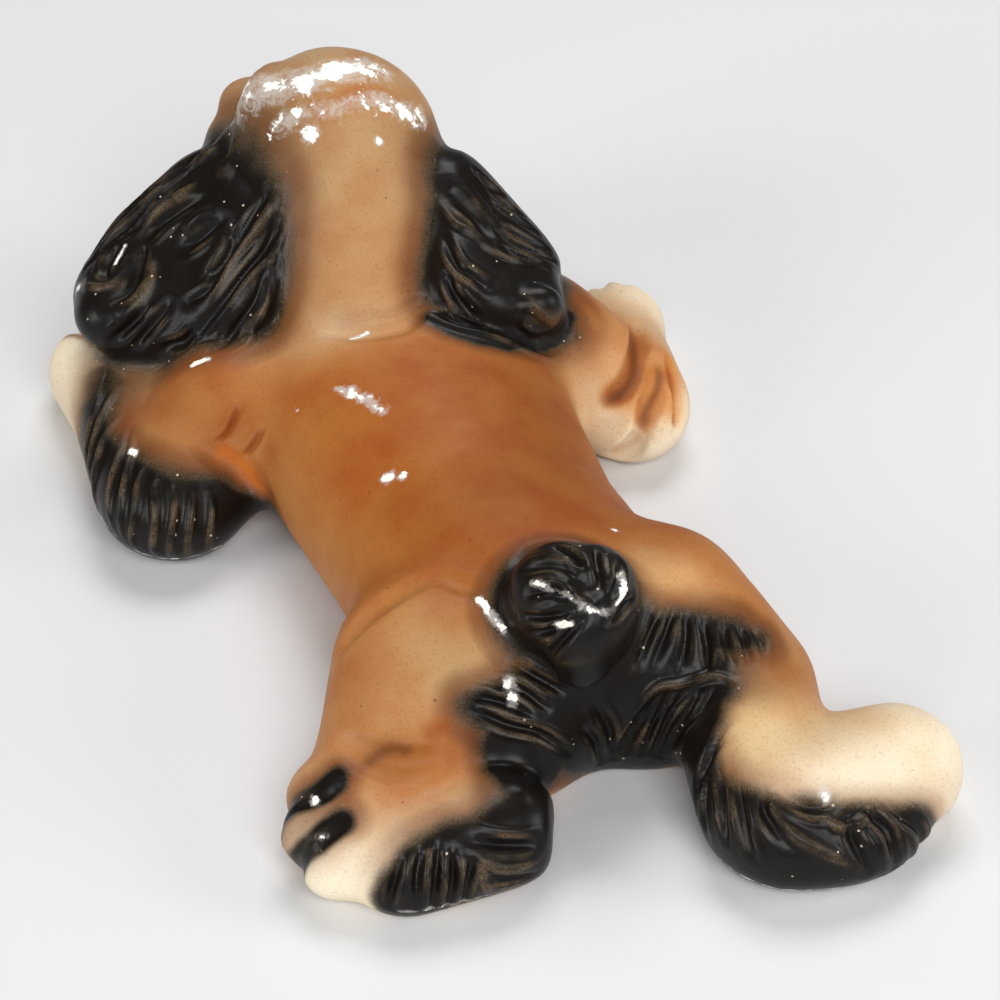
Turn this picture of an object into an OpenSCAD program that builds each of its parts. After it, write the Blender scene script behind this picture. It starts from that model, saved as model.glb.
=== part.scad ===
// Lying spaniel puppy, a hollow slip-cast figurine made in nine castings that are luted together.
// Millimetres, +Z up, +Y towards the head, +X to the dog's right. It rests on z = 0.

/* [Torso] */
// Half width of the chest behind the arms
chest_half = 44; // [40:0.5:48]
// Half width of the waist
waist_half = 38; // [34:0.5:42]
// Half width of the rump between the thighs
rump_half = 38; // [34:0.5:42]
// Height of the back at the shoulders
shoulder_top = 50; // [46:0.5:54]
// Height of the back at the rump
rump_top = 50; // [46:0.5:54]
// Thickness of the cast wall
wall = 5; // [4:0.5:7]
// Radius of the pour hole in the belly
pour_hole_r = 9; // [6:0.5:12]

/* [Head] */
// Half width of the skull
skull_half = 28; // [25:0.5:31]
// Height of the crown of the head
crown_top = 94; // [90:0.5:98]
// Length of the muzzle in front of the brow
muzzle_length = 14; // [10:0.5:18]

/* [Ears, limbs and tail] */
// Half thickness of the ears
ear_half = 8; // [6:0.5:10]
// Half width of the thighs
thigh_half = 21; // [18:0.5:24]
// Half width of the elbows
elbow_half = 17; // [15:0.5:19]
// Half width of the forepaws
paw_half = 12; // [10:0.5:14]
// Half width of the hind feet
foot_half = 15; // [13:0.5:17]
// Radius of the tail's curl
tail_r = 13; // [11:0.5:15]

/* [Quality] */
// Facets round each rounded form
facets = 24; // [16:4:24]

/* [Hidden] */
ground_half = 200;
// Where the waist of the spine, which the forms are placed from, lies from the middle of the figurine.
centre = [-2, -19, 0];
pour_hole_at = [0, 20, -1];

// Each form is a chain of eggs: [centre, radii].
torso_form = [
    [[0, 80, 20], [34, 24, 24]],
    [[0, 56, 22], [chest_half, 28, shoulder_top - 22]],
    [[0, 28, 20], [chest_half - 3, 24, 29]],
    [[1, 0, 19], [waist_half, 24, 28]],
    [[3, -28, 20], [rump_half, 24, 29]],
    [[8, -50, 19], [rump_half - 3, 24, rump_top - 19]]
];
head_form = [
    [[-2, 62, 34], [24, 18, 14]],
    [[0, 82, 48], [24, 20, 20]],
    [[1, 112, crown_top - skull_half], [skull_half, skull_half, skull_half]],
    [[-7, 127, 61], [25, 16, 20]]
];
muzzle_form = [
    [[0, 92, 34], [24, 20, 18]],
    [[-6, 120, 47], [25, 20, 18]],
    [[-11, 129 + muzzle_length, 47], [17, 15, 13]],
    [[-12, 137 + muzzle_length, 52], [10, 9, 8]]
];
foreleg_left_form = [
    [[-40, 68, 22], [20, 22, 19]],
    [[-62, 52, 12], [elbow_half + 3, 22, 15]],
    [[-68, 88, 11], [paw_half, 13, 13]],
    [[-69, 112, 10], [paw_half + 1, 16, 12]]
];
foreleg_right_form = [
    [[42, 70, 22], [20, 22, 20]],
    [[61, 52, 12], [elbow_half, 21, 15]],
    [[69, 74, 11], [paw_half, 13, 12]],
    [[73, 88, 10], [paw_half + 1, 15, 11]]
];
hind_leg_left_form = [
    [[-10, -64, 14], [15, 15, 18]],
    [[-23, -44, 22], [thigh_half + 3, 24, 22]],
    [[-36, -62, 17], [thigh_half - 1, 18, 16]],
    [[-52, -76, 9], [foot_half, 15, 12]],
    [[-44, -87, 9], [foot_half, 16, 12]],
    [[-22, -88, 10], [foot_half - 1, 14, 13]]
];
hind_leg_right_form = [
    [[26, -64, 14], [15, 14, 18]],
    [[33, -46, 22], [thigh_half, 24, 22]],
    [[43, -68, 17], [thigh_half - 3, 18, 16]],
    [[36, -102, 11], [foot_half + 1, 20, 15]],
    [[69, -99, 11], [foot_half, 16, 14]]
];
tail_form = [
    [[3, -56, 42], [tail_r, tail_r, tail_r]],
    [[2, -60, 48], [tail_r, tail_r, tail_r]],
    [[5, -65, 48], [tail_r, tail_r, tail_r]],
    [[8, -62, 50], [tail_r - 2, tail_r - 2, tail_r - 2]]
];
// Each ear is a chain of ribs, and each rib runs from the ear's inner edge to its outer edge.
ear_left_ribs = [
    [[-19, 108, 73], [-22, 121, 70]],
    [[-21, 94, 66], [-35, 121, 60]],
    [[-26, 85, 53], [-54, 117, 48]],
    [[-36, 77, 43], [-67, 111, 36]],
    [[-47, 83, 37], [-63, 97, 32]]
];
ear_right_ribs = [
    [[22, 90, 68], [27, 98, 65]],
    [[21, 78, 60], [37, 87, 52]],
    [[15, 60, 54], [45, 72, 43]],
    [[27, 52, 48], [44, 57, 40]]
];

function egg(at, r) = [at, [r, r, r]];
// The same form with its skin moved inwards by a wall's thickness.
function inside(form) = [for (e = form) [e[0], e[1] - [wall, wall, wall]]];

module ball(e)
    translate(centre + e[0])
        scale(e[1])
            sphere(r = 1, $fn = facets);

// Joins each egg of a form to the next.
module chain(form)
    for (i = [0 : len(form) - 2])
        hull() {
            ball(form[i]);
            ball(form[i + 1]);
        }

// Joins each rib of an ear to the next.
module leaf(ribs)
    for (i = [0 : len(ribs) - 2])
        hull()
            for (at = concat(ribs[i], ribs[i + 1]))
                ball(egg(at, ear_half));

// Keeps what is above the given height.
module above(z)
    intersection() {
        children();
        translate([-ground_half, -ground_half, z])
            cube([2 * ground_half, 2 * ground_half, ground_half]);
    }

module torso_outside() above(0) chain(torso_form);

module head_outside() {
    chain(head_form);
    chain(muzzle_form);
}

// The hollow runs through the neck, so that the torso and head drain from one pour hole.
module hollow() {
    above(wall) chain(inside(torso_form));
    chain(inside([for (i = [0 : 2]) head_form[i]]));
}

module torso() color("peru")
    difference() {
        torso_outside();
        hollow();
        translate(centre + pour_hole_at)
            cylinder(r = pour_hole_r, h = wall + 2, $fn = 2 * facets);
    }

module head() color("tan")
    difference() {
        head_outside();
        torso_outside();
        hollow();
    }

module foreleg(form)
    difference() {
        above(0) chain(form);
        torso_outside();
        head_outside();
    }

module foreleg_left() color("sienna") foreleg(foreleg_left_form);

module foreleg_right() color("chocolate") foreleg(foreleg_right_form);

module hind_leg(form)
    difference() {
        above(0) chain(form);
        torso_outside();
    }

module hind_leg_left() color("burlywood") hind_leg(hind_leg_left_form);

module hind_leg_right() color("wheat") hind_leg(hind_leg_right_form);

module ear(ribs, foreleg_form)
    difference() {
        leaf(ribs);
        head_outside();
        torso_outside();
        chain(foreleg_form);
    }

module ear_left() color("dimgray") ear(ear_left_ribs, foreleg_left_form);

module ear_right() color("gray") ear(ear_right_ribs, foreleg_right_form);

module tail() color("darkslategray")
    difference() {
        chain(tail_form);
        torso_outside();
    }

torso();
head();
ear_left();
ear_right();
tail();
foreleg_left();
foreleg_right();
hind_leg_left();
hind_leg_right();
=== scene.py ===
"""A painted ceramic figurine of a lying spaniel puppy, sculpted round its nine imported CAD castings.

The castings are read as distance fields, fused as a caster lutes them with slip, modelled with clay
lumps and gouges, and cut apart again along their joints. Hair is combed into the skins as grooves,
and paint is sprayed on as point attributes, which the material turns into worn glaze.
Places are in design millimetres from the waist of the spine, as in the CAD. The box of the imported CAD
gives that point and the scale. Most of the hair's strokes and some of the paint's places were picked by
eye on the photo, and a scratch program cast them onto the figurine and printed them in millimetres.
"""
import math

import bpy
import numpy as np
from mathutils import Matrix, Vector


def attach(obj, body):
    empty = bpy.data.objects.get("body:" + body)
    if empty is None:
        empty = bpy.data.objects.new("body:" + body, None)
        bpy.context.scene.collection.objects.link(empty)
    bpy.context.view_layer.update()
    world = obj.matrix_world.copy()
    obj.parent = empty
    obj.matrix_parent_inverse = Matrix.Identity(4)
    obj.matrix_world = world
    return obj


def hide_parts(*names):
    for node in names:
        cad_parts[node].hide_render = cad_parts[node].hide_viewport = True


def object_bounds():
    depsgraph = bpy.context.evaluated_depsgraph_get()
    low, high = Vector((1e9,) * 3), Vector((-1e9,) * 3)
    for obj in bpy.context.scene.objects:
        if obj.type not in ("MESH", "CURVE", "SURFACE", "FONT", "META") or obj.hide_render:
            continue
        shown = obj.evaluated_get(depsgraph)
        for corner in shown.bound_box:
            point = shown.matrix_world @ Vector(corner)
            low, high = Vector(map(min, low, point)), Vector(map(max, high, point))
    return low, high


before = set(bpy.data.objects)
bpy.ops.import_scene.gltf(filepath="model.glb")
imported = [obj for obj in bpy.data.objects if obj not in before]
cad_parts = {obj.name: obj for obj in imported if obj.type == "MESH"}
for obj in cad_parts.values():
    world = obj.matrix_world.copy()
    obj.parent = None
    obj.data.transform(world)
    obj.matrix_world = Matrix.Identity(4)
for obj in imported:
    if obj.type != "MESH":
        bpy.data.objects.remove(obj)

import openvdb
from mathutils import Vector

cad_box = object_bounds()

# ---------------------------------------------------------------- the CAD box's own measure
DESIGN_LENGTH = 281.7
WAIST_FROM_MIDDLE = (-2, -19)
box_low = np.array(cad_box[0], float)
box_high = np.array(cad_box[1], float)
MM = (box_high[1] - box_low[1]) / DESIGN_LENGTH
WAIST = np.array([
    (box_low[0] + box_high[0]) / 2 + WAIST_FROM_MIDDLE[0] * MM,
    (box_low[1] + box_high[1]) / 2 + WAIST_FROM_MIDDLE[1] * MM,
    box_low[2],
])

# Voxel size in mm. Distances are known BAND voxels deep, at least DEPTH mm, and past that they are FAR.
VOXEL = 0.6
DEPTH = 9
BAND = math.ceil(DEPTH / VOXEL)
FAR = BAND * VOXEL

NODE_SLOTS = {
    "torso": "brown_paint",
    "head": "tan_paint",
    "foreleg_left": "limb_paint",
    "foreleg_right": "limb_paint",
    "hind_leg_left": "limb_paint",
    "hind_leg_right": "limb_paint",
    "ear_left": "black_paint",
    "ear_right": "black_paint",
    "tail": "black_paint",
}
# How far the slip spreads at each casting's joint, in mm, in the order of luting.
SLIP = {
    "torso": 0.5,
    "head": 7,
    "foreleg_left": 7,
    "foreleg_right": 7,
    "hind_leg_left": 8,
    "hind_leg_right": 8,
    "ear_left": 2.5,
    "ear_right": 2.5,
    "tail": 3,
}

# The paints, from 0 to 255 as the eye sees them.
CREAM = (250, 239, 214)
ORANGE = (197, 112, 36)
SIENNA = (150, 80, 28)
UMBER = (86, 46, 20)
BISTRE = (118, 86, 46)
TAN = (212, 168, 112)
SAND = (229, 197, 146)
FAWN = (196, 168, 128)
APRICOT = (224, 160, 92)
# What the material adds to them.
WARM_SHADE = (150, 96, 56)
STIPPLE = (110, 62, 30)
PIT = (60, 34, 20)
SOOT = (20, 16, 13)
BRONZE = (118, 98, 72)
CRUMB = (214, 196, 168)
CHALK_SMEAR = (204, 198, 192)
BARE_BODY_AND_EYE_GLINT = (246, 243, 235)


# ---------------------------------------------------------------- small mathematics
def smoothstep(low, high, x):
    t = np.clip((x - low) / (high - low), 0, 1)
    return t * t * (3 - 2 * t)


def row_dot(a, b):
    return np.einsum("ij,ij->i", a, b)


def smooth_min(a, b, k):
    """The lower of a and b, with the corner between them filled over a width of k."""
    h = np.clip(k - np.abs(a - b), 0, None) / k
    return np.minimum(a, b) - h * h * k / 4


def bend(points, steps):
    """A smooth curve through the points, with that many steps from each to the next."""
    points = np.array(points, float)
    padded = np.vstack([2 * points[0] - points[1], points, 2 * points[-1] - points[-2]])
    curve = []
    for a, b, c, d in zip(padded, padded[1:], padded[2:], padded[3:]):
        for t in np.arange(steps) / steps:
            linear_part = 2 * b + (c - a) * t
            square_part = (2 * a - 5 * b + 4 * c - d) * t ** 2
            cubic_part = (3 * b - a - 3 * c + d) * t ** 3
            curve.append((linear_part + square_part + cubic_part) / 2)
    return np.array(curve + [points[-1]])


def value_noise(points, size, seed):
    """Smooth noise from -1 to 1 that changes over about size mm."""
    CELLS = 32
    lattice = np.random.default_rng(seed).uniform(-1, 1, (CELLS, CELLS, CELLS)).astype(np.float32)
    at = points / size
    cell = np.floor(at).astype(int)
    part = at - cell
    part = part * part * (3 - 2 * part)
    value = np.zeros(len(points), np.float32)
    for corner in np.ndindex(2, 2, 2):
        weight = np.prod(np.where(corner, part, 1 - part), axis=1)
        x, y, z = ((cell + corner) % CELLS).T
        value += weight * lattice[x, y, z]
    return value


def light(colour):
    """A colour of 0 to 255, as the eye sees it, as amounts of light."""
    c = np.array(colour) / 255
    return np.where(c <= 0.04045, c / 12.92, ((c + 0.055) / 1.055) ** 2.4)


# ---------------------------------------------------------------- distance fields
class Field:
    """Distances to a surface in a box of voxels. first is the box's lowest voxel."""

    def __init__(self, first, cells):
        self.first = np.array(first)
        self.cells = cells

    def cut(self, first, shape):
        """The slices for the box of voxels that starts at first."""
        start = np.maximum(first - self.first, 0)
        stop = np.minimum(first + shape - self.first, self.cells.shape)
        return tuple(slice(int(a), int(b)) for a, b in zip(start, stop))

    def window(self, low, high):
        """The slices between two corners in mm, and the places of their voxels as three open axes."""
        first = np.floor(np.array(low) / VOXEL).astype(int)
        last = np.ceil(np.array(high) / VOXEL).astype(int)
        cut = self.cut(first, last - first)
        axes = [(np.arange(c.start, c.stop) + f) * VOXEL for c, f in zip(cut, self.first)]
        return cut, np.ix_(*[axis.astype(np.float32) for axis in axes])

    def sample(self, points):
        """The distance at each point, FAR outside the box."""
        at = points / VOXEL - self.first
        inside = ((at > 0) & (at < np.array(self.cells.shape) - 1.001)).all(1)
        cell = np.where(inside[:, None], np.floor(at), 0).astype(int)
        part = np.where(inside[:, None], at - cell, 0).astype(np.float32)
        value = np.zeros(len(points), np.float32)
        for corner in np.ndindex(2, 2, 2):
            weight = np.prod(np.where(corner, part, 1 - part), axis=1)
            x, y, z = (cell + corner).T
            value += weight * self.cells[x, y, z]
        return np.where(inside, value, FAR)

    def normals(self, points):
        """The way the distance grows fastest at each point."""
        steps = np.eye(3) * VOXEL
        slope = np.stack([self.sample(points + step) - self.sample(points - step) for step in steps], 1)
        return slope / np.maximum(np.linalg.norm(slope, axis=1, keepdims=True), 1e-6)

    def blur(self, sigma):
        """Rounds every edge off with a Gaussian of sigma mm."""
        reach = math.ceil(2.5 * sigma / VOXEL)
        weights = np.exp(-((np.arange(-reach, reach + 1) * VOXEL / sigma) ** 2) / 2)
        weights /= weights.sum()
        for axis in range(3):
            turned = np.moveaxis(self.cells, axis, 0)
            padded = np.concatenate([turned[:1]] * reach + [turned] + [turned[-1:]] * reach)
            total = np.zeros_like(turned)
            for i, weight in enumerate(weights):
                total += np.float32(weight) * padded[i : i + len(turned)]
            self.cells = np.moveaxis(total, 0, axis)

    def skin(self):
        """The closed surface at distance 0, as points in mm and quads."""
        grid = openvdb.FloatGrid(FAR)
        grid.copyFromArray(np.ascontiguousarray(self.cells), ijk=tuple(int(i) for i in self.first))
        grid.transform = openvdb.createLinearTransform(voxelSize=VOXEL)
        points, quads = grid.convertToQuads(isovalue=0.0)
        return points.astype(float), quads.astype(int)


def casting_field(node):
    """The distances to one CAD casting."""
    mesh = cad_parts[node].data
    mesh.calc_loop_triangles()
    points = np.empty(len(mesh.vertices) * 3, np.float32)
    mesh.vertices.foreach_get("co", points)
    corners = np.empty(len(mesh.loop_triangles) * 3, np.int32)
    mesh.loop_triangles.foreach_get("vertices", corners)
    points = ((points.reshape(-1, 3) - WAIST) / MM).astype(np.float32)
    grid = openvdb.FloatGrid.createLevelSetFromPolygons(
        points,
        triangles=corners.reshape(-1, 3).astype(np.uint32),
        transform=openvdb.createLinearTransform(voxelSize=VOXEL),
        halfWidth=BAND,
    )
    first = np.floor(points.min(0) / VOXEL).astype(int) - BAND
    last = np.ceil(points.max(0) / VOXEL).astype(int) + BAND
    cells = np.full(last - first, FAR, np.float32)
    grid.copyToArray(cells, ijk=tuple(int(i) for i in first))
    return Field(first, cells)


def egg_distance(axes, centre, radii):
    """Roughly the distance to an ellipsoid."""
    offsets = [axis - c for axis, c in zip(axes, centre)]
    outer = np.sqrt(sum((o / r) ** 2 for o, r in zip(offsets, radii)))
    inner = np.sqrt(sum((o / r ** 2) ** 2 for o, r in zip(offsets, radii)))
    return outer * (outer - 1) / np.maximum(inner, 1e-4)


def rod_distance(axes, start, end, start_r, end_r):
    """The distance to a straight rod with round ends of two radii."""
    run = end - start
    offsets = [axis - s for axis, s in zip(axes, start)]
    t = np.clip(sum(o * r for o, r in zip(offsets, run)) / (run @ run), 0, 1)
    square = sum((o - t * r) ** 2 for o, r in zip(offsets, run))
    return np.sqrt(square) - (start_r + (end_r - start_r) * t)


# ---------------------------------------------------------------- clay tools
def press(field, centre, radii, k=3):
    """Presses a lump of clay on."""
    reach = np.array(radii) + k + 1
    cut, axes = field.window(np.array(centre) - reach, np.array(centre) + reach)
    lump = egg_distance(axes, centre, radii).astype(np.float32)
    field.cells[cut] = smooth_min(field.cells[cut], lump, k)


def scoop(field, centre, radii, k=3):
    """Takes a rounded hollow out."""
    reach = np.array(radii) + k + 1
    cut, axes = field.window(np.array(centre) - reach, np.array(centre) + reach)
    hole = egg_distance(axes, centre, radii).astype(np.float32)
    field.cells[cut] = -smooth_min(-field.cells[cut], hole, k)


def gouge(field, points, radius, k=3):
    """Draws a gouge of that radius through the points, running out at both ends."""
    curve = bend(points, 4)
    radii = radius * np.sin(np.linspace(0.3, math.pi - 0.3, len(curve)))
    for start, end, start_r, end_r in zip(curve, curve[1:], radii, radii[1:]):
        reach = radius + k + 1
        cut, axes = field.window(np.minimum(start, end) - reach, np.maximum(start, end) + reach)
        rod = rod_distance(axes, start, end, start_r, end_r).astype(np.float32)
        field.cells[cut] = -smooth_min(-field.cells[cut], rod, k)


# ---------------------------------------------------------------- modelling
EYE_LEFT = (-18, 138, 67)
EYE_RIGHT = (4, 138, 67)
NOSE = (-12, 155, 55)
TOE_MARKS = [
    [(-56, -74, 23), (-61, -74, 19), (-66, -73, 12)],
    [(-57, -83, 19), (-62, -84, 15), (-66, -82, 8)],
]
FORELEG_RIGHT_FOLDS = [
    [(70, 68, 24), (66, 55, 27), (62, 46, 27), (57, 41, 25), (50, 39, 22)],
    [(70, 50, 25), (66, 41, 24), (62, 36, 21), (58, 33, 15)],
    [(58, 33, 14), (55, 35, 8), (52, 38, 4)],
    [(74, 53, 21), (72, 42, 19), (69, 34, 13)],
]


def model_limbs(field):
    """Fullness that the castings leave out: the armpit and the toes."""
    press(field, (-54, 90, 14), (13, 18, 14), 8)
    for x, y, z in ((-56, -66, 12), (-60, -76, 11), (-58, -86, 9)):
        press(field, (x, y, z), (9, 6, 9), 3)


def model_face(field):
    """The puppy's forehead, brows, eyes, muzzle and mouth."""
    press(field, (-17, 119, 82), (8, 9, 7), 6)
    scoop(field, (-30, 132, 86), (14, 16, 14), 5)
    for side in (-1, 1):
        press(field, (-7 + side * 10, 134, 73), (7, 7, 5), 5)
        press(field, (-12 + side * 8, 147, 46), (9, 10, 8), 5)
        press(field, (-10 + side * 18, 122, 50), (8, 12, 10), 6)
    for x, y, z in (EYE_LEFT, EYE_RIGHT):
        scoop(field, (x, y + 4, z), (6, 5, 5), 3)
        press(field, (x, y, z), (5.4, 5, 5.4), 0.8)
    press(field, NOSE, (7.5, 6, 5), 2)
    press(field, (-11, 143, 36), (10, 9, 6), 5)


def carve_face(field):
    """The nostrils and the line of the mouth."""
    for side in (-1, 1):
        scoop(field, (-12 + side * 3.6, 161, 54), (1.8, 2.5, 1.6), 1)
        front = [(-12, 158, 46), (-12 + side * 8, 155, 41)]
        back = [(-11 + side * 16, 145, 39), (-10 + side * 20, 134, 43)]
        gouge(field, front + back, 1.5, 1.5)
    gouge(field, [(-12, 161, 51), (-12, 159, 46), (-12, 157, 43)], 1.2, 1.5)


def carve_body(field):
    """The folds of the skin, the swirl of the tail, and the gaps between the toes."""
    nape = [(-20, 59, 50), (-11, 54, 51), (-1, 52, 52), (6, 56, 52)]
    thigh_left = [(-46, -41, 31), (-34, -40, 42), (-22, -39, 47), (-15, -47, 46)]
    ankle_left = [(-54, -66, 28), (-48, -74, 28), (-42, -78, 27), (-34, -78, 26)]
    arm_left = [(-57, 46, 31), (-48, 39, 25), (-43, 33, 18)]
    round_tail = [(-11, -72, 44), (-12, -62, 49), (-8, -50, 51), (3, -44, 50), (14, -50, 50), (17, -62, 49)]
    gouge(field, nape, 2.0, 4)
    gouge(field, thigh_left, 1.6, 4)
    gouge(field, ankle_left, 2.2, 4)
    gouge(field, arm_left, 1.8, 4)
    for line, radius in zip(FORELEG_RIGHT_FOLDS, (1.5, 1.2, 1.0, 1.0)):
        gouge(field, line, radius, 4)
    for x in (-72, -65):
        gouge(field, [(x + 1, 112, 24), (x, 124, 19), (x - 1, 131, 8)], 1.6, 2)
    for x in (71, 78):
        gouge(field, [(x - 1, 90, 23), (x, 99, 18), (x + 1, 105, 7)], 1.6, 2)
    gouge(field, round_tail, 1.5, 3)
    scoop(field, (4, -71, 61), (4.5, 4, 4), 2)
    press(field, (2, -74, 43), (6, 4, 9), 5)
    press(field, (36, 50, 48), (6, 5, 6), 3)
    press(field, (-19, -89, 20), (3.5, 3, 3), 2)
    scoop(field, (-3, -98, 10), (9, 12, 17), 5)
    press(field, (50, -113, 9), (19, 12, 10), 6)


def fuse(castings):
    """The castings luted together, and how near the nearest and second nearest are."""
    first = np.min([c.first for c in castings.values()], axis=0)
    last = np.max([c.first + c.cells.shape for c in castings.values()], axis=0)
    fused, nearest, second = (Field(first, np.full(last - first, FAR, np.float32)) for _ in range(3))
    for node, casting in castings.items():
        cut = fused.cut(casting.first, casting.cells.shape)
        near = nearest.cells[cut].copy()
        fused.cells[cut] = smooth_min(fused.cells[cut], casting.cells, SLIP[node])
        second.cells[cut] = np.minimum(second.cells[cut], np.maximum(near, casting.cells))
        nearest.cells[cut] = np.minimum(near, casting.cells)
    return fused, nearest, second


def share_out(castings, fused, nearest, second):
    """Each casting's own part of the clay, with a hidden lap that dives under its neighbours."""
    # How far a skin runs on past its joint, in mm, and how steeply it sinks there.
    LAP = 2.0
    DIVE = 0.25
    shares = {}
    for node, casting in castings.items():
        cut = fused.cut(casting.first, casting.cells.shape)
        is_nearest = casting.cells <= nearest.cells[cut]
        past = casting.cells - np.where(is_nearest, second.cells[cut], nearest.cells[cut])
        dive = DIVE * np.clip(past, 0, None) ** 2
        shares[node] = Field(casting.first, np.maximum(fused.cells[cut] + dive, past - LAP))
    return shares


# ---------------------------------------------------------------- the surface
class Surface:
    """Every point of every skin, with the height and the paint that it gets."""

    # A line marks the surface up to LIFT mm above or below it, and wanders by up to WANDER mm each way.
    LIFT = 4.0
    WANDER = 1.1
    WANDER_SIZE = 11
    # The edges of the black wander too, by up to EDGE_WANDER mm.
    EDGE_WANDER = 0.5
    EDGE_SIZE = 4
    # The unevenness of the clay: the height and size of its lumps in mm, and a seed.
    LUMPS = ((0.22, 13, 5), (0.06, 4, 6))

    def __init__(self, points, field):
        self.points = points
        self.field = field
        self.normals = field.normals(points)
        wander = np.stack([value_noise(points, self.WANDER_SIZE, seed) for seed in (1, 2, 3)], 1)
        self.warped = points + self.WANDER * wander
        self.edge_noise = self.EDGE_WANDER * value_noise(points, self.EDGE_SIZE, 4)
        self.groove = np.zeros(len(points))
        self.ridge = np.zeros(len(points))
        self.combed = np.zeros(len(points))
        self.paint = np.tile(np.array(CREAM, float), (len(points), 1))
        self.black = np.zeros(len(points))
        self.chip_and_glint = np.zeros(len(points))

    def trace(self, points):
        """A smooth curve through points, laid on the surface."""
        curve = bend(points, 4)
        for _ in range(3):
            curve = curve - self.field.sample(curve)[:, None] * self.field.normals(curve)
        return curve

    def near_line(self, curve, reach):
        """The points near a curve, their distances from it over the surface, and how far along they are."""
        margin = reach + self.LIFT
        inside = ((self.points > curve.min(0) - margin) & (self.points < curve.max(0) + margin)).all(1)
        index = np.nonzero(inside)[0]
        at = self.warped[index]
        normal = self.normals[index]
        best = np.full(len(index), np.inf)
        along = np.zeros(len(index))
        for i, (start, end) in enumerate(zip(curve, curve[1:])):
            run = end - start
            t = np.clip((at - start) @ run / (run @ run), 0, 1)
            off = at - start - t[:, None] * run
            lift = np.minimum(row_dot(off, normal) ** 2, self.LIFT ** 2)
            square = row_dot(off, off) - lift
            closer = square < best
            best = np.where(closer, square, best)
            along = np.where(closer, (i + t) / (len(curve) - 1), along)
        distance = np.sqrt(np.maximum(best, 0))
        keep = distance < reach
        return index[keep], distance[keep], along[keep]

    def stroke(self, points, width, depth):
        """One rounded groove that runs out at both ends, with a low lip on either side."""
        index, distance, along = self.near_line(self.trace(points), width * 2)
        ends = np.sin(np.clip(along, 0.02, 0.98) * math.pi) ** 0.5
        share = distance / width
        cut = np.cos(np.clip(share, 0, 1) * math.pi / 2) ** 2
        lip = np.sin(np.clip(share - 1, 0, 1) * math.pi) ** 2
        self.groove[index] = np.maximum(self.groove[index], depth * cut * ends)
        self.ridge[index] = np.maximum(self.ridge[index], 0.22 * depth * lip * ends)
        self.combed[index] = np.maximum(self.combed[index], 0.6 * np.clip(2 - share, 0, 1) * ends)

    def strokes(self, width, depth, lines):
        for line in lines:
            self.stroke(line, width, depth)

    def lock(self, points, width, height):
        """A raised lock of hair."""
        index, distance, along = self.near_line(self.trace(points), width)
        ends = np.sin(np.clip(along, 0.02, 0.98) * math.pi) ** 0.6
        swell = np.cos(distance / width * math.pi / 2) ** 2 * ends
        self.ridge[index] = np.maximum(self.ridge[index], height * swell)
        self.combed[index] = np.maximum(self.combed[index], swell)

    def locks(self, width, height, lines):
        for line in lines:
            self.lock(line, width, height)

    def tint(self, index, colour, share):
        """Mixes a colour into the paint."""
        self.paint[index] += (np.array(colour) - self.paint[index]) * share[:, None]

    def spray(self, colour, centre, radius, strength=1.0):
        """A soft dab of the airbrush."""
        off = (self.points - np.array(centre)) / np.array(radius)
        self.tint(slice(None), colour, strength * np.exp(-row_dot(off, off)))

    def streak(self, colour, points, width, strength=1.0):
        """A soft airbrushed line."""
        index, distance, along = self.near_line(self.trace(points), width * 2.2)
        ends = smoothstep(-0.05, 0.2, along) * smoothstep(1.05, 0.8, along)
        self.tint(index, colour, strength * np.exp(-((distance / width) ** 2)) * ends)

    def blacken(self, distance, soft):
        """Black where the distance is below 0, fading out over soft mm either way, with a brown halo."""
        HALO = 0.55
        halo = HALO * smoothstep(soft + 3, soft - 2, distance) * (1 - self.black)
        self.tint(slice(None), UMBER, halo)
        self.black = np.maximum(self.black, smoothstep(soft, -soft, distance + self.edge_noise))

    def blot(self, points, radii, soft=2.2):
        """A black patch along a line, with a radius at each of its points."""
        points = np.array(points, float)
        best = np.full(len(self.points), FAR * 9)
        for start, end, start_r, end_r in zip(points, points[1:], radii, radii[1:]):
            run = end - start
            t = np.clip((self.points - start) @ run / (run @ run), 0, 1)
            off = self.points - start - t[:, None] * run
            best = np.minimum(best, np.sqrt(row_dot(off, off)) - start_r - (end_r - start_r) * t)
        self.blacken(best, soft)

    def flake(self, points, width, strength):
        """A line where the paint has come off."""
        index, distance, along = self.near_line(self.trace(points), width * 2.5)
        white_mark = strength * np.exp(-((distance / width) ** 2))
        self.chip_and_glint[index] = np.maximum(self.chip_and_glint[index], white_mark)

    def spot(self, centre, radius):
        """A small round white place: a chip where the paint has come off, and also the painted highlight in
        each eye.
        """
        STRENGTH = 0.75
        SOFTNESS = 1.2
        off = (self.points - np.array(centre)) / (SOFTNESS * radius)
        self.chip_and_glint = np.maximum(self.chip_and_glint, STRENGTH * np.exp(-row_dot(off, off)))

    def heights(self):
        """How far each point moves out along its normal, in mm. The ground base stays flat."""
        lumps = sum(height * value_noise(self.points, size, seed) for height, size, seed in self.LUMPS)
        off_base = smoothstep(0.3, 3, self.points[:, 2])
        return (self.ridge - self.groove + lumps) * off_base

    def crest(self):
        """How much each point is the rubbed crest of combed hair, from 0 to 1."""
        deep = np.clip(self.groove / 0.9, 0, 1)
        return np.clip(self.combed * 1.6, 0, 1) * (1 - deep)
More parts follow.
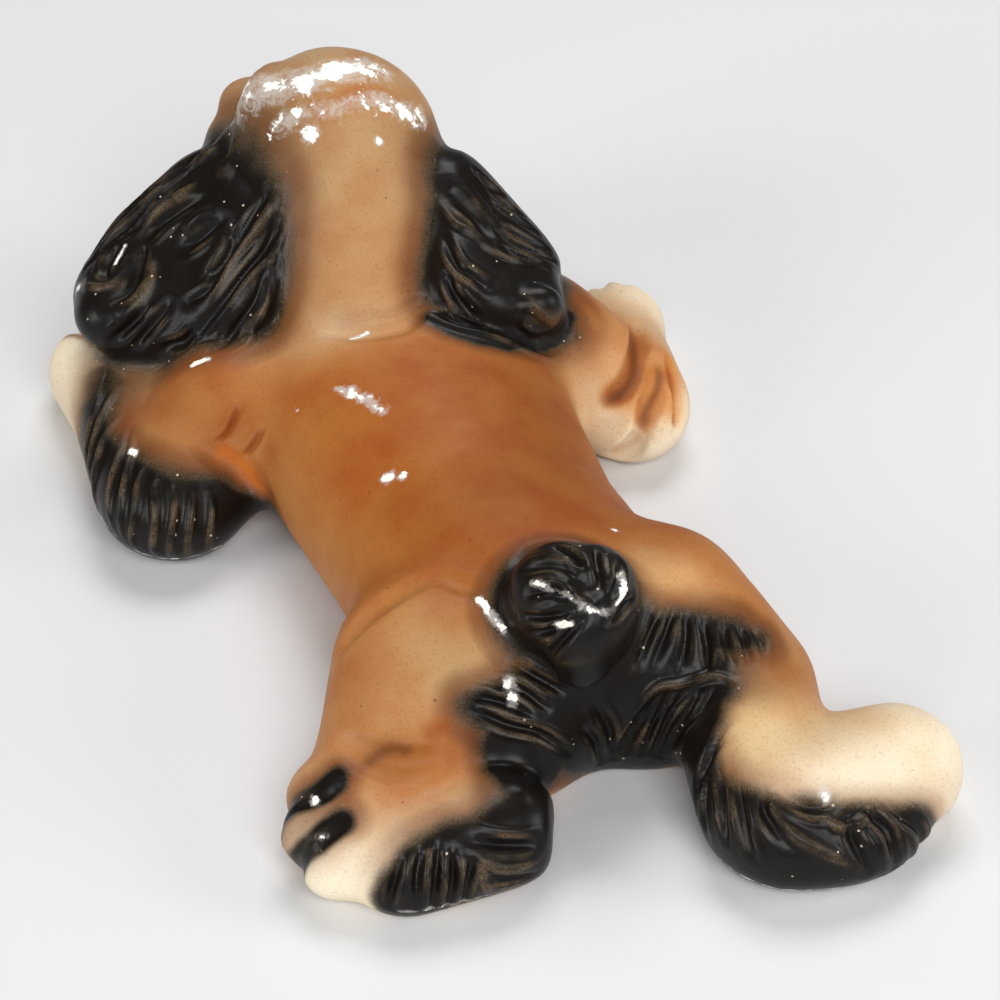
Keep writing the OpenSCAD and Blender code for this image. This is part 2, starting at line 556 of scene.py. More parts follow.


# ---------------------------------------------------------------- hair
# Most of the points below were printed by the scratch program that the top of this file describes.
# They aren't worked out from the CAD box.
def comb_left_ear(skin):
    """Fine grooves by the outer edge, leaf-shaped locks, a curl, and long ridges by the inner edge."""
    skin.strokes(1.6, 1.3, [
        [(-35, 118, 70), (-46, 119, 62), (-59, 118, 54), (-68, 116, 46)],
        [(-33, 112, 71), (-46, 115, 62), (-58, 113, 54), (-69, 113, 45)],
        [(-39, 111, 66), (-51, 111, 58), (-63, 111, 49)],
    ])
    skin.strokes(2.3, 1.7, [
        [(-38, 102, 66), (-44, 105, 62), (-50, 106, 58), (-55, 106, 53)],
        [(-36, 94, 63), (-41, 95, 59), (-46, 96, 56)],
        [(-34, 89, 62), (-36, 86, 57), (-42, 84, 53)],
        [(-60, 109, 51), (-63, 108, 48), (-65, 105, 46), (-64, 101, 45)],
        [(-55, 105, 53), (-57, 100, 49), (-60, 96, 44), (-66, 96, 40)],
    ])
    skin.locks(3.2, 1.7, [
        [(-38, 107, 67), (-43, 109, 64), (-48, 109, 60), (-53, 110, 57)],
        [(-37, 98, 65), (-41, 99, 61), (-45, 100, 58)],
        [(-36, 91, 61), (-38, 89, 57), (-42, 87, 53)],
        [(-54, 101, 51), (-55, 95, 48), (-59, 92, 44), (-64, 92, 40)],
        [(-23, 90, 73), (-27, 87, 67), (-33, 86, 59), (-39, 82, 53), (-45, 80, 48)],
    ])
    skin.locks(3.4, 1.3, [
        [(-26, 113, 76), (-30, 108, 73), (-34, 103, 69)],
        [(-29, 118, 74), (-34, 116, 71), (-40, 113, 67)],
    ])
    skin.lock([(-58, 106, 51), (-61, 101, 46), (-66, 99, 42), (-69, 103, 42), (-69, 109, 44)], 2.6, 1.3)
    skin.strokes(2.0, 1.9, [
        [(-25, 90, 72), (-31, 88, 63), (-36, 86, 57), (-42, 82, 51), (-48, 83, 46)],
        [(-24, 85, 66), (-27, 82, 60), (-32, 80, 56), (-40, 77, 50), (-48, 76, 43)],
        [(-26, 78, 57), (-31, 74, 51), (-38, 71, 46), (-45, 71, 39)],
        [(-49, 77, 42), (-53, 78, 38), (-57, 82, 34)],
        [(-58, 89, 42), (-62, 90, 39), (-66, 92, 36)],
        [(-53, 86, 45), (-58, 86, 40), (-62, 87, 35)],
    ])
    skin.locks(1.8, 1.0, [
        [(-27, 80, 59), (-33, 77, 54), (-41, 74, 49), (-48, 74, 42)],
        [(-24, 82, 63), (-27, 77, 55), (-31, 71, 48), (-36, 68, 44), (-43, 67, 39)],
    ])


def comb_right_ear(skin):
    """Slanting ribs by the outer edge, a long wavy ridge, two crescents, and the folds at the tip."""
    skin.strokes(1.5, 1.3, [
        [(32, 87, 68), (34, 85, 65), (38, 84, 61)],
        [(33, 84, 65), (36, 82, 61), (41, 80, 57)],
        [(33, 80, 63), (37, 78, 60), (43, 75, 54)],
        [(32, 76, 62), (36, 72, 58), (45, 70, 51)],
        [(31, 71, 61), (36, 68, 57), (46, 67, 49)],
        [(32, 66, 58), (36, 65, 55), (42, 63, 51)],
    ])
    skin.stroke([(22, 80, 69), (25, 76, 67), (28, 72, 63), (29, 67, 61)], 3.4, 2.0)
    skin.lock([(18, 78, 69), (21, 70, 66), (25, 67, 62), (27, 64, 60), (31, 62, 57), (38, 63, 53)], 2.2, 1.7)
    skin.strokes(1.9, 1.7, [
        [(16, 67, 64), (16, 62, 63), (17, 57, 61), (20, 54, 59), (23, 51, 56)],
        [(13, 56, 60), (13, 52, 56), (15, 50, 53), (19, 47, 49)],
        [(30, 45, 50), (32, 45, 48), (36, 46, 44)],
    ])
    skin.locks(1.7, 1.1, [
        [(13, 64, 63), (14, 59, 62), (15, 55, 60), (18, 52, 58), (21, 49, 55)],
        [(11, 55, 58), (12, 52, 54), (14, 50, 50), (19, 46, 46)],
    ])
    skin.lock([(5, 56, 50), (13, 49, 48), (23, 43, 44), (32, 42, 39), (41, 49, 32), (44, 56, 34)], 2.0, 1.1)


def comb_tail(skin):
    """Locks that curl in from all round towards the hollow."""
    skin.strokes(1.6, 1.7, [
        [(-6, -58, 57), (-1, -62, 60), (2, -67, 60)],
        [(0, -55, 60), (3, -60, 61), (4, -65, 61)],
        [(-7, -64, 56), (-3, -67, 58), (0, -71, 57)],
        [(-9, -66, 51), (-6, -70, 53), (-2, -73, 55)],
        [(-8, -69, 47), (-6, -72, 50), (-3, -74, 54)],
        [(-5, -73, 44), (-3, -75, 50), (0, -75, 54)],
        [(9, -60, 61), (8, -66, 61), (6, -71, 59)],
        [(13, -64, 58), (11, -69, 58), (7, -73, 57)],
        [(14, -70, 54), (11, -74, 55), (6, -77, 53)],
    ])
    skin.lock([(-6, -61, 57), (-2, -67, 59), (0, -72, 58), (3, -75, 57)], 1.8, 1.2)


def comb_pants(skin):
    """Short upright strokes over the right thigh's panel, slanting ones below it, and a leaf on the left."""
    skin.strokes(1.6, 1.5, [
        [(24, -63, 40), (21, -67, 37), (17, -70, 33)],
        [(28, -62, 39), (25, -66, 35), (21, -70, 32)],
        [(31, -63, 38), (30, -67, 34), (27, -71, 30)],
        [(35, -65, 37), (34, -70, 34), (32, -74, 30)],
        [(39, -67, 36), (38, -71, 34), (38, -75, 31)],
        [(42, -68, 35), (42, -72, 33), (41, -77, 32)],
        [(45, -68, 34), (46, -71, 33), (45, -75, 32)],
    ])
    skin.lock([(15, -74, 22), (20, -72, 27), (27, -73, 27), (33, -76, 30), (36, -80, 31)], 1.9, 1.5)
    skin.strokes(1.3, 1.6, [
        [(18, -73, 24), (14, -73, 17), (12, -73, 11)],
        [(20, -74, 25), (16, -74, 18), (14, -72, 10)],
        [(23, -74, 25), (19, -76, 18), (17, -74, 9)],
        [(27, -75, 25), (22, -77, 19), (19, -76, 9)],
        [(29, -78, 26), (25, -79, 21), (21, -76, 8)],
        [(32, -79, 28), (26, -81, 23), (22, -77, 10)],
    ])
    skin.strokes(1.6, 1.5, [
        [(-11, -65, 35), (-8, -68, 34), (-1, -71, 31)],
        [(-17, -67, 33), (-11, -69, 31), (-6, -72, 28)],
        [(-22, -67, 32), (-17, -70, 31), (-11, -73, 29)],
        [(-22, -69, 30), (-16, -73, 27), (-8, -76, 24), (-2, -76, 17)],
        [(2, -73, 21), (6, -74, 15), (8, -72, 7)],
        [(6, -73, 25), (9, -73, 17), (11, -72, 8)],
    ])


def comb_elbow(skin):
    """Narrow ridges that sweep down from the forearm and stand upright round the elbow."""
    skin.locks(1.7, 1.5, [
        [(-68, 92, 23), (-73, 83, 22), (-77, 76, 20), (-79, 68, 13)],
        [(-68, 84, 24), (-73, 77, 23), (-77, 71, 21), (-81, 62, 13)],
        [(-70, 72, 25), (-76, 66, 22), (-79, 60, 19), (-82, 53, 11)],
        [(-69, 66, 25), (-73, 57, 24), (-77, 50, 21), (-80, 43, 12)],
        [(-69, 60, 26), (-72, 52, 25), (-75, 45, 22), (-78, 39, 11)],
        [(-69, 47, 25), (-72, 42, 22), (-75, 38, 18), (-76, 36, 9)],
        [(-67, 42, 25), (-70, 37, 21), (-71, 33, 14), (-71, 33, 7)],
        [(-64, 40, 24), (-66, 35, 20), (-67, 32, 13), (-67, 32, 7)],
        [(-60, 38, 23), (-62, 34, 19), (-63, 31, 12), (-63, 31, 6)],
        [(-56, 37, 22), (-57, 33, 17), (-58, 31, 11), (-58, 31, 6)],
    ])


def comb_left_foot(skin):
    """Grooves that fan down over the toes, and a deep one under the heel."""
    skin.strokes(1.7, 1.8, [
        [(-48, -96, 18), (-50, -99, 14), (-52, -101, 7)],
        [(-43, -97, 19), (-45, -100, 15), (-46, -102, 9)],
        [(-39, -97, 19), (-41, -101, 14), (-43, -104, 6)],
        [(-36, -98, 18), (-37, -102, 13), (-39, -104, 5)],
        [(-32, -100, 16), (-34, -102, 11), (-35, -104, 5)],
    ])
    skin.locks(2.0, 0.9, [
        [(-41, -96, 19), (-43, -100, 15), (-44, -103, 8)],
        [(-34, -99, 18), (-35, -102, 13), (-36, -104, 6)],
        [(-31, -100, 17), (-30, -103, 11), (-29, -104, 6)],
    ])
    skin.strokes(2.6, 1.3, [np.array(line) + (0, -2, 0) for line in TOE_MARKS])
    skin.stroke([(-31, -97, 19), (-25, -99, 17), (-18, -99, 15)], 2.1, 2.0)
    skin.lock([(-31, -100, 17), (-26, -102, 13), (-19, -101, 12)], 1.9, 1.3)
    skin.stroke([(-30, -103, 12), (-25, -104, 9), (-19, -102, 7)], 1.6, 1.3)


def comb_right_foot(skin):
    """Long strokes down the shank, then curling locks along the foot."""
    skin.strokes(1.7, 1.6, [
        [(32, -88, 28), (26, -91, 24), (22, -93, 18), (19, -96, 9)],
        [(30, -92, 26), (24, -93, 21), (21, -98, 15), (20, -103, 8)],
        [(25, -97, 22), (23, -104, 19), (22, -110, 13)],
        [(27, -104, 23), (25, -111, 19), (26, -116, 13)],
    ])
    skin.strokes(2.1, 1.8, [
        [(32, -108, 25), (30, -113, 22), (33, -118, 18)],
        [(34, -109, 25), (38, -114, 22), (42, -115, 21), (48, -114, 21)],
        [(46, -117, 18), (47, -120, 14), (50, -120, 9)],
        [(51, -116, 19), (55, -118, 14), (56, -118, 8)],
        [(57, -115, 18), (61, -117, 13), (63, -116, 6)],
    ])
    skin.locks(2.2, 1.3, [
        [(30, -111, 24), (32, -116, 21), (36, -119, 18), (41, -121, 14), (47, -120, 10)],
        [(40, -116, 21), (44, -118, 18), (50, -118, 18), (54, -116, 19)],
    ])


def mark_shoulder(skin):
    """Two leaf-shaped nicks of the modelling tool, with painted shade in the groove under each."""
    for line in (
        [(-44, 52, 35), (-48, 48, 32), (-52, 47, 31)],
        [(-39, 46, 32), (-42, 45, 28), (-46, 43, 27)],
    ):
        skin.lock(line, 1.7, 0.9)
        skin.stroke(np.array(line) + (1.2, -1.2, -0.6), 1.0, 1.1)
        # Painted shade along the groove under the nick.
        skin.streak(SIENNA, np.array(line) + (1.0, -1.0, -0.5), 1.0, 0.8)


def crease_brow(skin):
    """Low folds over the left brow."""
    skin.strokes(1.5, 0.8, [
        [(-25, 121, 74), (-21, 125, 79), (-15, 126, 83), (-8, 124, 88)],
        [(-25, 117, 77), (-21, 120, 82), (-14, 121, 86)],
    ])


# ---------------------------------------------------------------- paint
def paint_brown(skin):
    """The browns sprayed over the cream body, broad coats first, and a painted highlight on the nape."""
    skin.spray(APRICOT, (0, 10, 30), (72, 110, 50))
    skin.spray(ORANGE, (0, 24, 40), (56, 54, 44), 0.95)
    skin.spray(ORANGE, (4, -30, 40), (50, 42, 38), 0.95)
    skin.spray(ORANGE, (-46, 62, 26), (24, 20, 20), 0.75)
    skin.spray(ORANGE, (46, 66, 30), (24, 22, 22), 0.75)
    skin.spray(SIENNA, (28, 8, 38), (20, 50, 28), 0.6)
    skin.spray(SIENNA, (0, -24, 48), (20, 26, 16), 0.35)
    # Painted highlight: a pale cream sheen across the nape.
    skin.spray(CREAM, (-12, 60, 46), (20, 9, 10), 0.7)
    skin.spray(TAN, (0, 104, 72), (36, 32, 34), 1.0)
    skin.spray(BISTRE, (-20, 104, 84), (12, 20, 12), 0.55)
    skin.spray(BISTRE, (18, 92, 72), (8, 16, 14), 0.35)
    skin.spray(SAND, (-3, 80, 73), (15, 28, 18), 0.35)
    skin.spray(ORANGE, (5, 99, 90), (9, 4, 7), 0.75)
    skin.spray(SAND, (-27, -60, 35), (18, 16, 16), 0.8)
    skin.spray(ORANGE, (-46, -54, 24), (14, 22, 22), 0.5)
    skin.spray(SAND, (24, -52, 46), (8, 9, 8), 0.5)
    skin.spray(SAND, (-40, -64, 34), (9, 11, 10), 0.6)
    skin.spray(APRICOT, (-38, 8, 22), (9, 22, 12), 0.6)
    skin.spray(ORANGE, (50, -58, 24), (16, 22, 22), 0.7)
    skin.spray(SIENNA, (47, -78, 27), (14, 12, 11), 1.0)
    skin.spray(ORANGE, (60, -74, 20), (14, 16, 14), 0.6)
    skin.spray(SAND, (54, -70, 29), (9, 9, 8), 0.45)
    skin.spray(SIENNA, (-60, 64, 24), (14, 16, 12), 0.5)
    skin.spray(SIENNA, (-48, 50, 24), (10, 10, 12), 0.4)
    skin.spray(ORANGE, (-38, -76, 25), (16, 9, 8), 0.7)
    skin.spray(SIENNA, (-46, -74, 27), (9, 4, 6), 0.5)


def paint_cream(skin):
    """The paws, feet, chest and muzzle that stay pale, the shading in their folds, and the painted shadow of
    the left ear on its paw.
    """
    skin.spray(CREAM, (-62, -88, 6), (13, 14, 12), 0.95)
    skin.spray(CREAM, (-50, -98, 6), (20, 10, 13), 0.95)
    skin.spray(CREAM, (72, -100, 14), (26, 17, 20), 1.0)
    skin.spray(SAND, (38, -92, 29), (14, 10, 10), 0.9)
    skin.spray(FAWN, (52, -97, 28), (20, 9, 8), 0.75)
    skin.spray(BISTRE, (40, -84, 31), (8, 6, 7), 0.45)
    skin.spray(CREAM, (46, -110, 24), (22, 7, 7), 0.6)
    skin.spray(SAND, (31, -56, 42), (11, 7, 8), 0.6)
    skin.spray(CREAM, (-73, 112, 12), (20, 23, 20), 1.0)
    skin.spray(CREAM, (60, 38, 14), (20, 17, 20), 1.0)
    skin.spray(CREAM, (78, 88, 12), (14, 18, 16), 0.9)
    skin.spray(CREAM, (-4, 108, 14), (40, 18, 22), 0.9)
    skin.spray(CREAM, (-11, 146, 44), (22, 16, 16), 0.95)
    skin.spray(CREAM, (-7, 140, 78), (5, 14, 16), 0.7)
    skin.streak(ORANGE, [(74, 60, 22), (73, 50, 21), (71, 40, 19), (68, 34, 14)], 3.5, 0.7)
    shades = zip(FORELEG_RIGHT_FOLDS, (3.1, 2.0, 1.3, 1.3), (0.95, 0.65, 0.12, 0.4))
    for line, width, strength in shades:
        skin.streak(ORANGE, line, width * 1.8, strength * 0.8)
        skin.streak(SIENNA, line, width, strength)
        skin.streak(UMBER, line, width * 0.5, strength * 0.6)
    skin.streak(ORANGE, [(-53, 45, 29), (-48, 42, 26), (-44, 40, 20), (-41, 42, 10)], 2.6, 0.8)
    # Painted shadow: the left ear's shadow on the paw beneath it.
    skin.streak(UMBER, [(-76, 123, 16), (-71, 115, 22), (-68, 106, 24)], 1.6, 0.6)
    skin.streak(UMBER, [(-50, -73, 26), (-44, -75, 28), (-38, -77, 27)], 1.6, 0.5)
    skin.streak(SIENNA, [(-36, -73, 29), (-32, -72, 30), (-28, -72, 30)], 2.0, 0.7)
    for side in (-1, 1):
        skin.spray(SIENNA, (-7 + side * 12, 138, 74), (6, 6, 4), 0.6)
        for dx, dz in ((7, 49), (10, 46), (12, 50)):
            skin.spray(UMBER, (-12 + side * dx, 156 - 0.4 * dx, dz), (1.2, 4, 1.2), 0.8)


def paint_black(skin, castings):
    """The black ears, tail and feathering, the eyes and the nose.

    A casting's distances stop at FAR, so the tail's halo is also a thin umber wash over the whole body.
    """
    for node, spread, soft in (("ear_left", 3.2, 3.6), ("ear_right", 2.5, 3.0), ("tail", 4.5, 4.0)):
        skin.blacken(castings[node].sample(skin.points) - spread, soft)
    right_ear_rim = [
        (8, 52, 50), (13, 49, 49), (18, 46, 47), (24, 45, 45), (31, 46, 42), (40, 52, 38), (46, 58, 37),
    ]
    elbow = [(-67, 92, 18), (-76, 66, 14), (-72, 46, 13), (-58, 36, 13), (-46, 34, 8)]
    left_foot = [(-16, -92, 13), (-29, -98, 13), (-36, -98, 13), (-42, -98, 12), (-47, -99, 9)]
    skin.blot(right_ear_rim, [3, 5, 5.5, 5.5, 5, 4.5, 3.5], 1.6)
    skin.blot([(38, 52, 50), (42, 56, 48)], [8, 6])
    skin.blot([(5, -58, 50), (4, -72, 36)], [13, 13.5], 3)
    skin.blot([(18, -66, 38), (22, -68, 30)], [8, 8], 3.5)
    skin.blot(elbow, [8, 10, 15, 13, 10], 3)
    skin.blot([(-23, -67, 28), (-8, -70, 27), (6, -72, 20), (14, -74, 12)], [5, 11, 14, 14], 3)
    skin.blot([(20, -67, 36), (30, -67, 35), (40, -69, 33), (45, -71, 32)], [7, 6.5, 5.5, 3.5], 3.6)
    skin.blot([(28, -71, 26), (14, -72, 20)], [13, 12], 3)
    skin.blot([(33, -79, 25), (24, -85, 16), (22, -98, 8)], [7, 12, 14], 3)
    skin.blot([(22, -98, 8), (28, -112, 10), (45, -123, 8), (60, -122, 6)], [14, 15, 16, 13], 2.8)
    skin.blot([(-13, -74, 20), (-12, -86, 17), (-16, -94, 12)], [10, 12.5, 12], 2.6)
    skin.blot(left_foot, [12, 10, 10, 9.5, 8.5], 2.4)
    for line in TOE_MARKS:
        skin.blot(line, [3.8, 4.3, 4.2], 1.6)
    for x, y, z in (EYE_LEFT, EYE_RIGHT):
        skin.blot([(x, y, z), (x, y + 0.5, z)], [5.4, 5.4], 0.7)
    skin.blot([NOSE, (NOSE[0], NOSE[1] + 3, NOSE[2])], [6.5, 5], 0.8)


def wear_and_eye_glints(skin):
    """Where the paint has chipped down to the white body, and the white painted highlight in each eye."""
    for line, width, strength in (
        ([(-20, 117, 83), (-14, 111, 88), (-8, 108, 91), (0, 107, 93), (9, 108, 92)], 7.5, 0.56),
        ([(-18, 102, 83), (-10, 98, 87), (-2, 96, 88), (8, 98, 88), (15, 97, 84), (20, 99, 80)], 4.5, 0.46),
        ([(-21, 37, 45), (-18, 31, 46), (-16, 27, 47), (-14, 23, 47)], 2.2, 0.5),
        ([(-13, 54, 49), (-9, 54, 50)], 0.8, 0.8),
        ([(-14, -50, 45), (-13, -55, 43), (-11, -60, 41)], 1.4, 0.5),
        ([(-6, -63, 58), (-2, -69, 58), (0, -74, 57)], 0.9, 0.45),
        ([(0, -74, 57), (6, -76, 55), (9, -75, 56)], 1.4, 0.46),
        ([(9, -75, 56), (12, -71, 57), (13, -67, 58)], 1.3, 0.55),
        ([(-5, -73, 52), (-3, -75, 53)], 1.0, 0.7),
        ([(-59, 108, 51), (-62, 105, 48)], 0.9, 0.66),
        ([(-47, 68, 40), (-51, 69, 38)], 1.0, 0.75),
        ([(-82, 50, 10), (-78, 40, 8), (-74, 37, 6), (-68, 33, 5), (-61, 31, 5), (-51, 33, 5)], 0.9, 0.42),
        ([(-50, -101, 6), (-44, -104, 5), (-36, -105, 4), (-26, -104, 4)], 0.8, 0.4),
        ([(20, -108, 4), (27, -118, 3), (40, -124, 3), (54, -120, 3)], 0.7, 0.5),
    ):
        skin.flake(line, width, strength)
    for centre, radius in (
        ((-8, 106, 92), 4.2),
        ((4, 107, 94), 4.0),
        ((-11, 94, 84), 2.6),
        ((17, 96, 83), 2.2),
        ((6, 89, 81), 1.3),
        ((20, 88, 76), 1.3),
        ((25, 89, 75), 1.2),
        ((-24, 118, 76), 1.8),
        ((-32, 39, 40), 1.1),
        ((-20, 2, 43), 2.2),
        ((-17, 0, 44), 1.6),
        ((-16, 29, 47), 1.6),
        ((-19, 35, 46), 1.3),
        ((-13, -67, 33), 1.8),
        ((-13, -71, 32), 1.9),
        ((-73, 108, 42), 2.2),
        ((-71, 103, 38), 1.2),
        ((-40, 62, 36), 1.4),
        ((-36, 61, 38), 1.1),
        ((-71, 53, 26), 1.3),
        ((-61, -75, 20), 1.2),
        ((-61, -84, 16), 1.4),
        ((47, 68, 51), 1.3),
        ((23, -38, 46), 1.1),
        ((42, -57, 41), 1.2),
        ((44, -113, 23), 1.6),
        # Painted highlights: a white glint in each eye.
        ((EYE_LEFT[0] - 1, EYE_LEFT[1] + 5, EYE_LEFT[2] + 2), 1.2),
        ((EYE_RIGHT[0] - 1, EYE_RIGHT[1] + 5, EYE_RIGHT[2] + 2), 1.2),
    ):
        skin.spot(centre, radius)


# ---------------------------------------------------------------- materials
def glaze(name):
    """Airbrushed paint under a soft gloss, with crisp chips, white painted highlights in the eyes, bronze
    dust and pin holes.
    """
    material = bpy.data.materials.new(name)
    material.use_nodes = True
    tree = material.node_tree
    shader = tree.nodes["Principled BSDF"]

    def node(kind, **settings):
        new = tree.nodes.new(f"ShaderNode{kind}")
        for key, value in settings.items():
            setattr(new, key, value)
        return new

    def join(source, target):
        if isinstance(source, (int, float, tuple)):
            target.default_value = source
        else:
            tree.links.new(source, target)

    def attribute(name, output="Fac"):
        return node("Attribute", attribute_name=name).outputs[output]

    place = node("TexCoord").outputs["Object"]

    def noise(scale, detail=2.0, rough=0.5, distortion=0.0):
        new = node("TexNoise")
        join(place, new.inputs["Vector"])
        join(float(scale), new.inputs["Scale"])
        join(float(detail), new.inputs["Detail"])
        join(float(rough), new.inputs["Roughness"])
        join(float(distortion), new.inputs["Distortion"])
        return new.outputs["Fac"]

    def voronoi(scale):
        new = node("TexVoronoi")
        join(place, new.inputs["Vector"])
        join(float(scale), new.inputs["Scale"])
        return new.outputs["Color"], new.outputs["Distance"]

    def maths(operation, a, b=0.0):
        new = node("Math", operation=operation)
        for source, target in zip((a, b), new.inputs):
            join(source, target)
        return new.outputs["Value"]

    def times(a, b):
        return maths("MULTIPLY", a, b)

    def plus(a, b):
        return maths("ADD", a, b)

    def around_zero(x, width):
        """A value round 0.5, as one round 0 that is width times as wide."""
        return times(maths("SUBTRACT", x, 0.5), width)

    def step(low, high, x):
        new = node("MapRange", interpolation_type="SMOOTHSTEP")
        join(x, new.inputs["Value"])
        join(low, new.inputs["From Min"])
        join(high, new.inputs["From Max"])
        return new.outputs["Result"]

    def spread(to_low, to_high, x):
        new = node("MapRange")
        join(x, new.inputs["Value"])
        join(to_low, new.inputs["To Min"])
        join(to_high, new.inputs["To Max"])
        return new.outputs["Result"]

    def mix(share, a, b, kind="MIX"):
        new = node("Mix", data_type="RGBA", blend_type=kind)
        join(share, new.inputs["Factor"])
        join(a, new.inputs["A"])
        join(b, new.inputs["B"])
        return new.outputs["Result"]

    def rgba(colour):
        return tuple(float(c) for c in light(colour)) + (1.0,)

    def rare_dots(scale, repeats, rarity, radius, edge):
        """Round dots in the few Voronoi cells whose colour comes out high."""
        colour, distance = voronoi(scale)
        chosen = step(rarity, rarity + 0.02, maths("FRACT", times(colour, repeats)))
        return times(step(radius, edge, distance), chosen)

    # paint, mottled and finely stippled
    mottling = spread(0.0, 0.5, step(0.35, 0.75, noise(70, 4)))
    mottled = mix(mottling, attribute("paint", "Color"), rgba(WARM_SHADE), "SOFT_LIGHT")
    stipple = spread(0.0, 0.3, step(0.5, 0.8, noise(1400, 3, 0.6)))
    stippled = mix(stipple, mottled, rgba(STIPPLE), "MULTIPLY")
    pits = rare_dots(260, 7.0, 0.80, 0.09, 0.05)
    pitted = mix(times(pits, 0.7), stippled, rgba(PIT))

    # black, with stippled airbrush edges, bronze dust on the crests, and pale crumbs
    black = step(0.05, 0.9, plus(attribute("black"), around_zero(noise(1800, 2), 0.22)))
    rubbed = times(step(0.35, 1.0, attribute("crest")), step(0.36, 0.62, noise(120, 2)))
    thin = step(1.0, 0.75, attribute("black"))
    dusted = maths("MAXIMUM", rubbed, times(thin, 0.7))
    dust = times(dusted, step(0.25, 0.8, noise(2300, 3, 0.7)))
    bronzed = mix(times(dust, 0.85), rgba(SOOT), rgba(BRONZE))
    crumbs = rare_dots(420, 5.0, 0.86, 0.16, 0.1)
    crumbed = mix(times(crumbs, 0.8), bronzed, rgba(CRUMB))
    coloured = mix(black, pitted, crumbed)

    # chips down to the white body and the white painted highlights of the eyes, with crisp ragged edges, and
    # a chalky smear round them
    white_mark = attribute("chip_and_glint")
    broken = around_zero(voronoi(480)[0], 0.3)
    ragged = around_zero(noise(150, 7, 0.62, 0.3), 1.5)
    chip_and_glint = step(0.5, 0.53, plus(white_mark, plus(broken, ragged)))
    chip_and_glint = times(chip_and_glint, step(0.05, 0.2, white_mark))
    chalky = around_zero(noise(260, 8, 0.75, 1.0), 1.4)
    smear = step(0.22, 0.6, plus(white_mark, chalky))
    smear = times(smear, step(0.04, 0.16, white_mark))
    smeared = mix(times(smear, 0.65), coloured, rgba(CHALK_SMEAR))
    join(mix(chip_and_glint, smeared, rgba(BARE_BODY_AND_EYE_GLINT)), shader.inputs["Base Color"])

    # gloss
    paint_roughness = spread(0.42, 0.6, noise(90, 3))
    black_roughness = spread(0.26, 0.46, noise(160, 3))
    difference = maths("SUBTRACT", black_roughness, paint_roughness)
    roughness = plus(times(black, difference), paint_roughness)
    join(plus(roughness, times(chip_and_glint, 0.45)), shader.inputs["Roughness"])
    shader.inputs["Specular IOR Level"].default_value = 0.2

    # relief
    relief = plus(times(noise(500, 4, 0.6), 0.35), times(chip_and_glint, -0.6))
    bump = node("Bump")
    join(0.25, bump.inputs["Strength"])
    join(0.0004, bump.inputs["Distance"])
    join(maths("SUBTRACT", relief, pits), bump.inputs["Height"])
    join(bump.outputs["Normal"], shader.inputs["Normal"])
    return material


# ---------------------------------------------------------------- pieces
def make_piece(node, points, quads, layers, material):
    """One painted casting, which stands for its CAD node."""
    mesh = bpy.data.meshes.new(f"{node}_skin")
    mesh.from_pydata((points * MM + WAIST).tolist(), [], quads.tolist())
    mesh.polygons.foreach_set("use_smooth", np.ones(len(quads), bool))
    for name, values in layers.items():
        if values.ndim == 2:
            layer = mesh.attributes.new(name, "FLOAT_COLOR", "POINT")
            opaque = np.hstack([values, np.ones((len(values), 1))])
            layer.data.foreach_set("color", opaque.astype(np.float32).ravel())
        else:
            layer = mesh.attributes.new(name, "FLOAT", "POINT")
            layer.data.foreach_set("value", values.astype(np.float32))
    mesh.materials.append(material)
    mesh.update()
    piece = bpy.data.objects.new(f"{node}_painted", mesh)
    bpy.context.scene.collection.objects.link(piece)
    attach(piece, "root")
    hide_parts(node)


def make_figurine():
    """Fuses the castings, models, combs and paints them, and cuts them apart again."""
    # How far edges are rounded off, in mm, at each stage of the work.
    EAR_BLUR = 3.5
    FUSED_BLUR = 2.0
    MODELLED_BLUR = 0.8
    TRACED_BLUR = 1.2
    castings = {node: casting_field(node) for node in NODE_SLOTS}
    for ear in ("ear_left", "ear_right"):
        castings[ear].blur(EAR_BLUR)
    press(castings["ear_left"], (-65, 99, 37), (10, 9, 8), 6)
    scoop(castings["ear_right"], (54, 55, 42), (8, 15, 13), 4)
    fused, nearest, second = fuse(castings)
    fused.blur(FUSED_BLUR)
    model_limbs(fused)
    model_face(fused)
    fused.blur(MODELLED_BLUR)
    carve_face(fused)
    carve_body(fused)
    # A flat base at height 0.
    _, axes = fused.window(fused.first * VOXEL, (fused.first + fused.cells.shape) * VOXEL)
    fused.cells = np.maximum(fused.cells, -axes[2])
    skins = {node: share.skin() for node, share in share_out(castings, fused, nearest, second).items()}

    points = np.vstack([p for p, _ in skins.values()])
    rounded = Field(fused.first, fused.cells.copy())
    rounded.blur(TRACED_BLUR)
    skin = Surface(points, rounded)
    for comb in (comb_left_ear, comb_right_ear, comb_tail, comb_pants, comb_elbow, comb_left_foot,
                 comb_right_foot, crease_brow):
        comb(skin)
    paint_brown(skin)
    paint_black(skin, castings)
    paint_cream(skin)
    mark_shoulder(skin)
    wear_and_eye_glints(skin)
    shaped = points + skin.normals * skin.heights()[:, None]
    layers = {"paint": light(skin.paint), "black": skin.black, "crest": skin.crest(), "chip_and_glint": skin.chip_and_glint}

    materials = {slot: glaze(slot) for slot in dict.fromkeys(NODE_SLOTS.values())}
    start = 0
    for node, (own, quads) in skins.items():
        part = slice(start, start + len(own))
        start += len(own)
        own_layers = {name: values[part] for name, values in layers.items()}
        make_piece(node, shaped[part], quads, own_layers, materials[NODE_SLOTS[node]])


make_figurine()

# ---------------------------------------------------------------- floor, lights and camera
# What the camera looks at, a little off the middle of the box, in metres.
TARGET_FROM_MIDDLE = Vector((0.006, -0.019, -0.017))
target = Vector(((box_low + box_high) / 2).tolist()) + TARGET_FROM_MIDDLE


def aim(obj, at, to):
    obj.location = at
    obj.rotation_euler = (Vector(to) - Vector(at)).to_track_quat("-Z", "Y").to_euler()
    bpy.context.scene.collection.objects.link(obj)


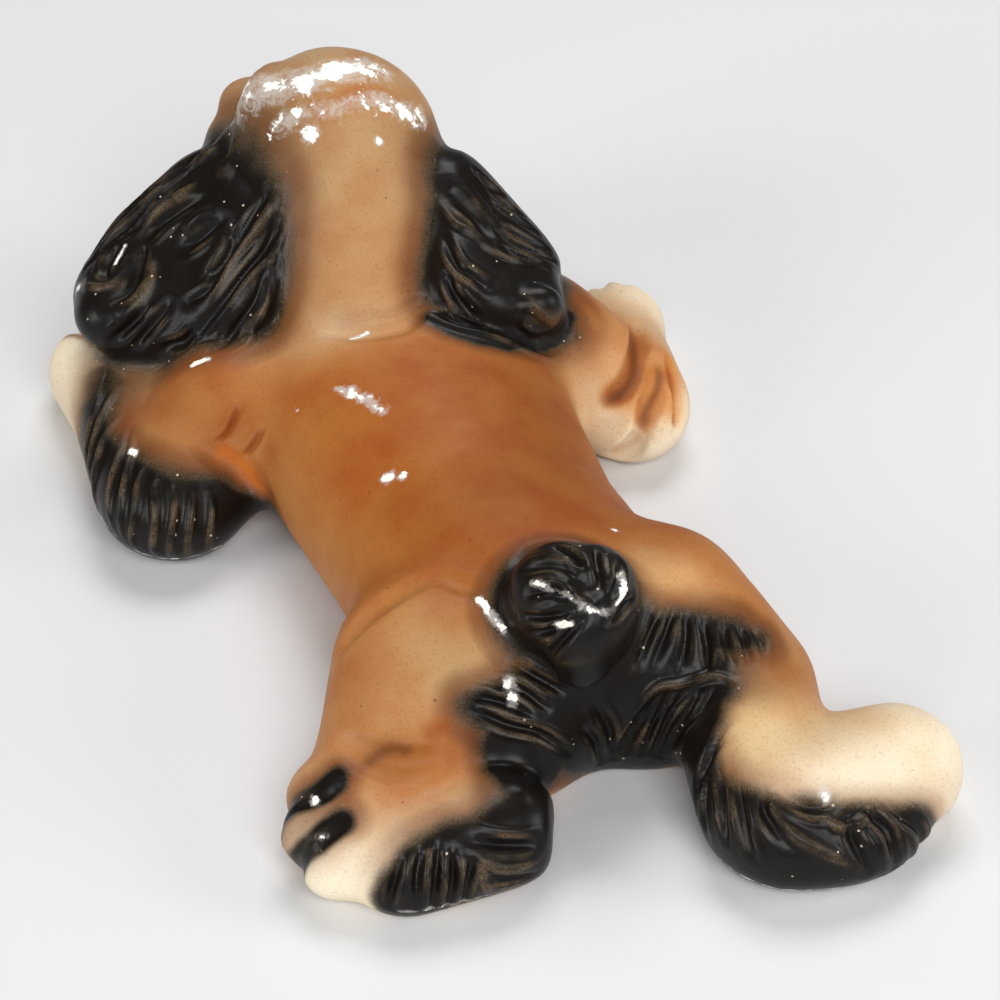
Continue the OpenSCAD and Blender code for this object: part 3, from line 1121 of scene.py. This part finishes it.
def add_camera():
    """The photographer's view, from behind the puppy and above."""
    AZIMUTH = math.radians(-19)
    ELEVATION = math.radians(38)
    DISTANCE = 0.675
    LENS = 100
    flat = math.cos(ELEVATION)
    view = Vector((-math.sin(AZIMUTH) * flat, math.cos(AZIMUTH) * flat, -math.sin(ELEVATION)))
    data = bpy.data.cameras.new("camera")
    data.lens = LENS
    camera = bpy.data.objects.new("camera", data)
    aim(camera, target - view * DISTANCE, target)
    bpy.context.scene.camera = camera


def add_softbox(name, at, width, height, power):
    data = bpy.data.lights.new(name, "AREA")
    data.shape = "RECTANGLE"
    data.size = width
    data.size_y = height
    data.energy = power
    aim(bpy.data.objects.new(name, data), at, target)


def add_floor():
    """Plain pale paper, too wide for its edge to be seen."""
    HALF = 20
    z = box_low[2]
    corners = [(-HALF, -HALF, z), (HALF, -HALF, z), (HALF, HALF, z), (-HALF, HALF, z)]
    mesh = bpy.data.meshes.new("floor")
    mesh.from_pydata(corners, [], [(0, 1, 2, 3)])
    material = bpy.data.materials.new("paper")
    material.use_nodes = True
    shader = material.node_tree.nodes["Principled BSDF"]
    shader.inputs["Base Color"].default_value = (0.72, 0.72, 0.725, 1)
    shader.inputs["Roughness"].default_value = 0.9
    mesh.materials.append(material)
    floor = bpy.data.objects.new("floor", mesh)
    bpy.context.scene.collection.objects.link(floor)


def add_studio():
    """Large soft lights all round, and a little light from everywhere."""
    add_softbox("softbox_above", (0.4, 0.8, 1.5), 1.0, 0.8, 16)
    add_softbox("softbox_front", (-0.1, -1.4, 1.2), 1.2, 0.9, 24)
    add_softbox("softbox_right", (1.4, -0.7, 0.7), 0.7, 0.7, 9)
    add_softbox("softbox_left", (-1.5, -0.3, 0.7), 0.7, 0.7, 11)
    world = bpy.data.worlds.new("studio")
    bpy.context.scene.world = world
    world.use_nodes = True
    background = world.node_tree.nodes["Background"]
    background.inputs["Color"].default_value = (1, 1, 1, 1)
    background.inputs["Strength"].default_value = 0.07
    bpy.context.scene.view_settings.view_transform = "Standard"


add_camera()
add_floor()
add_studio()
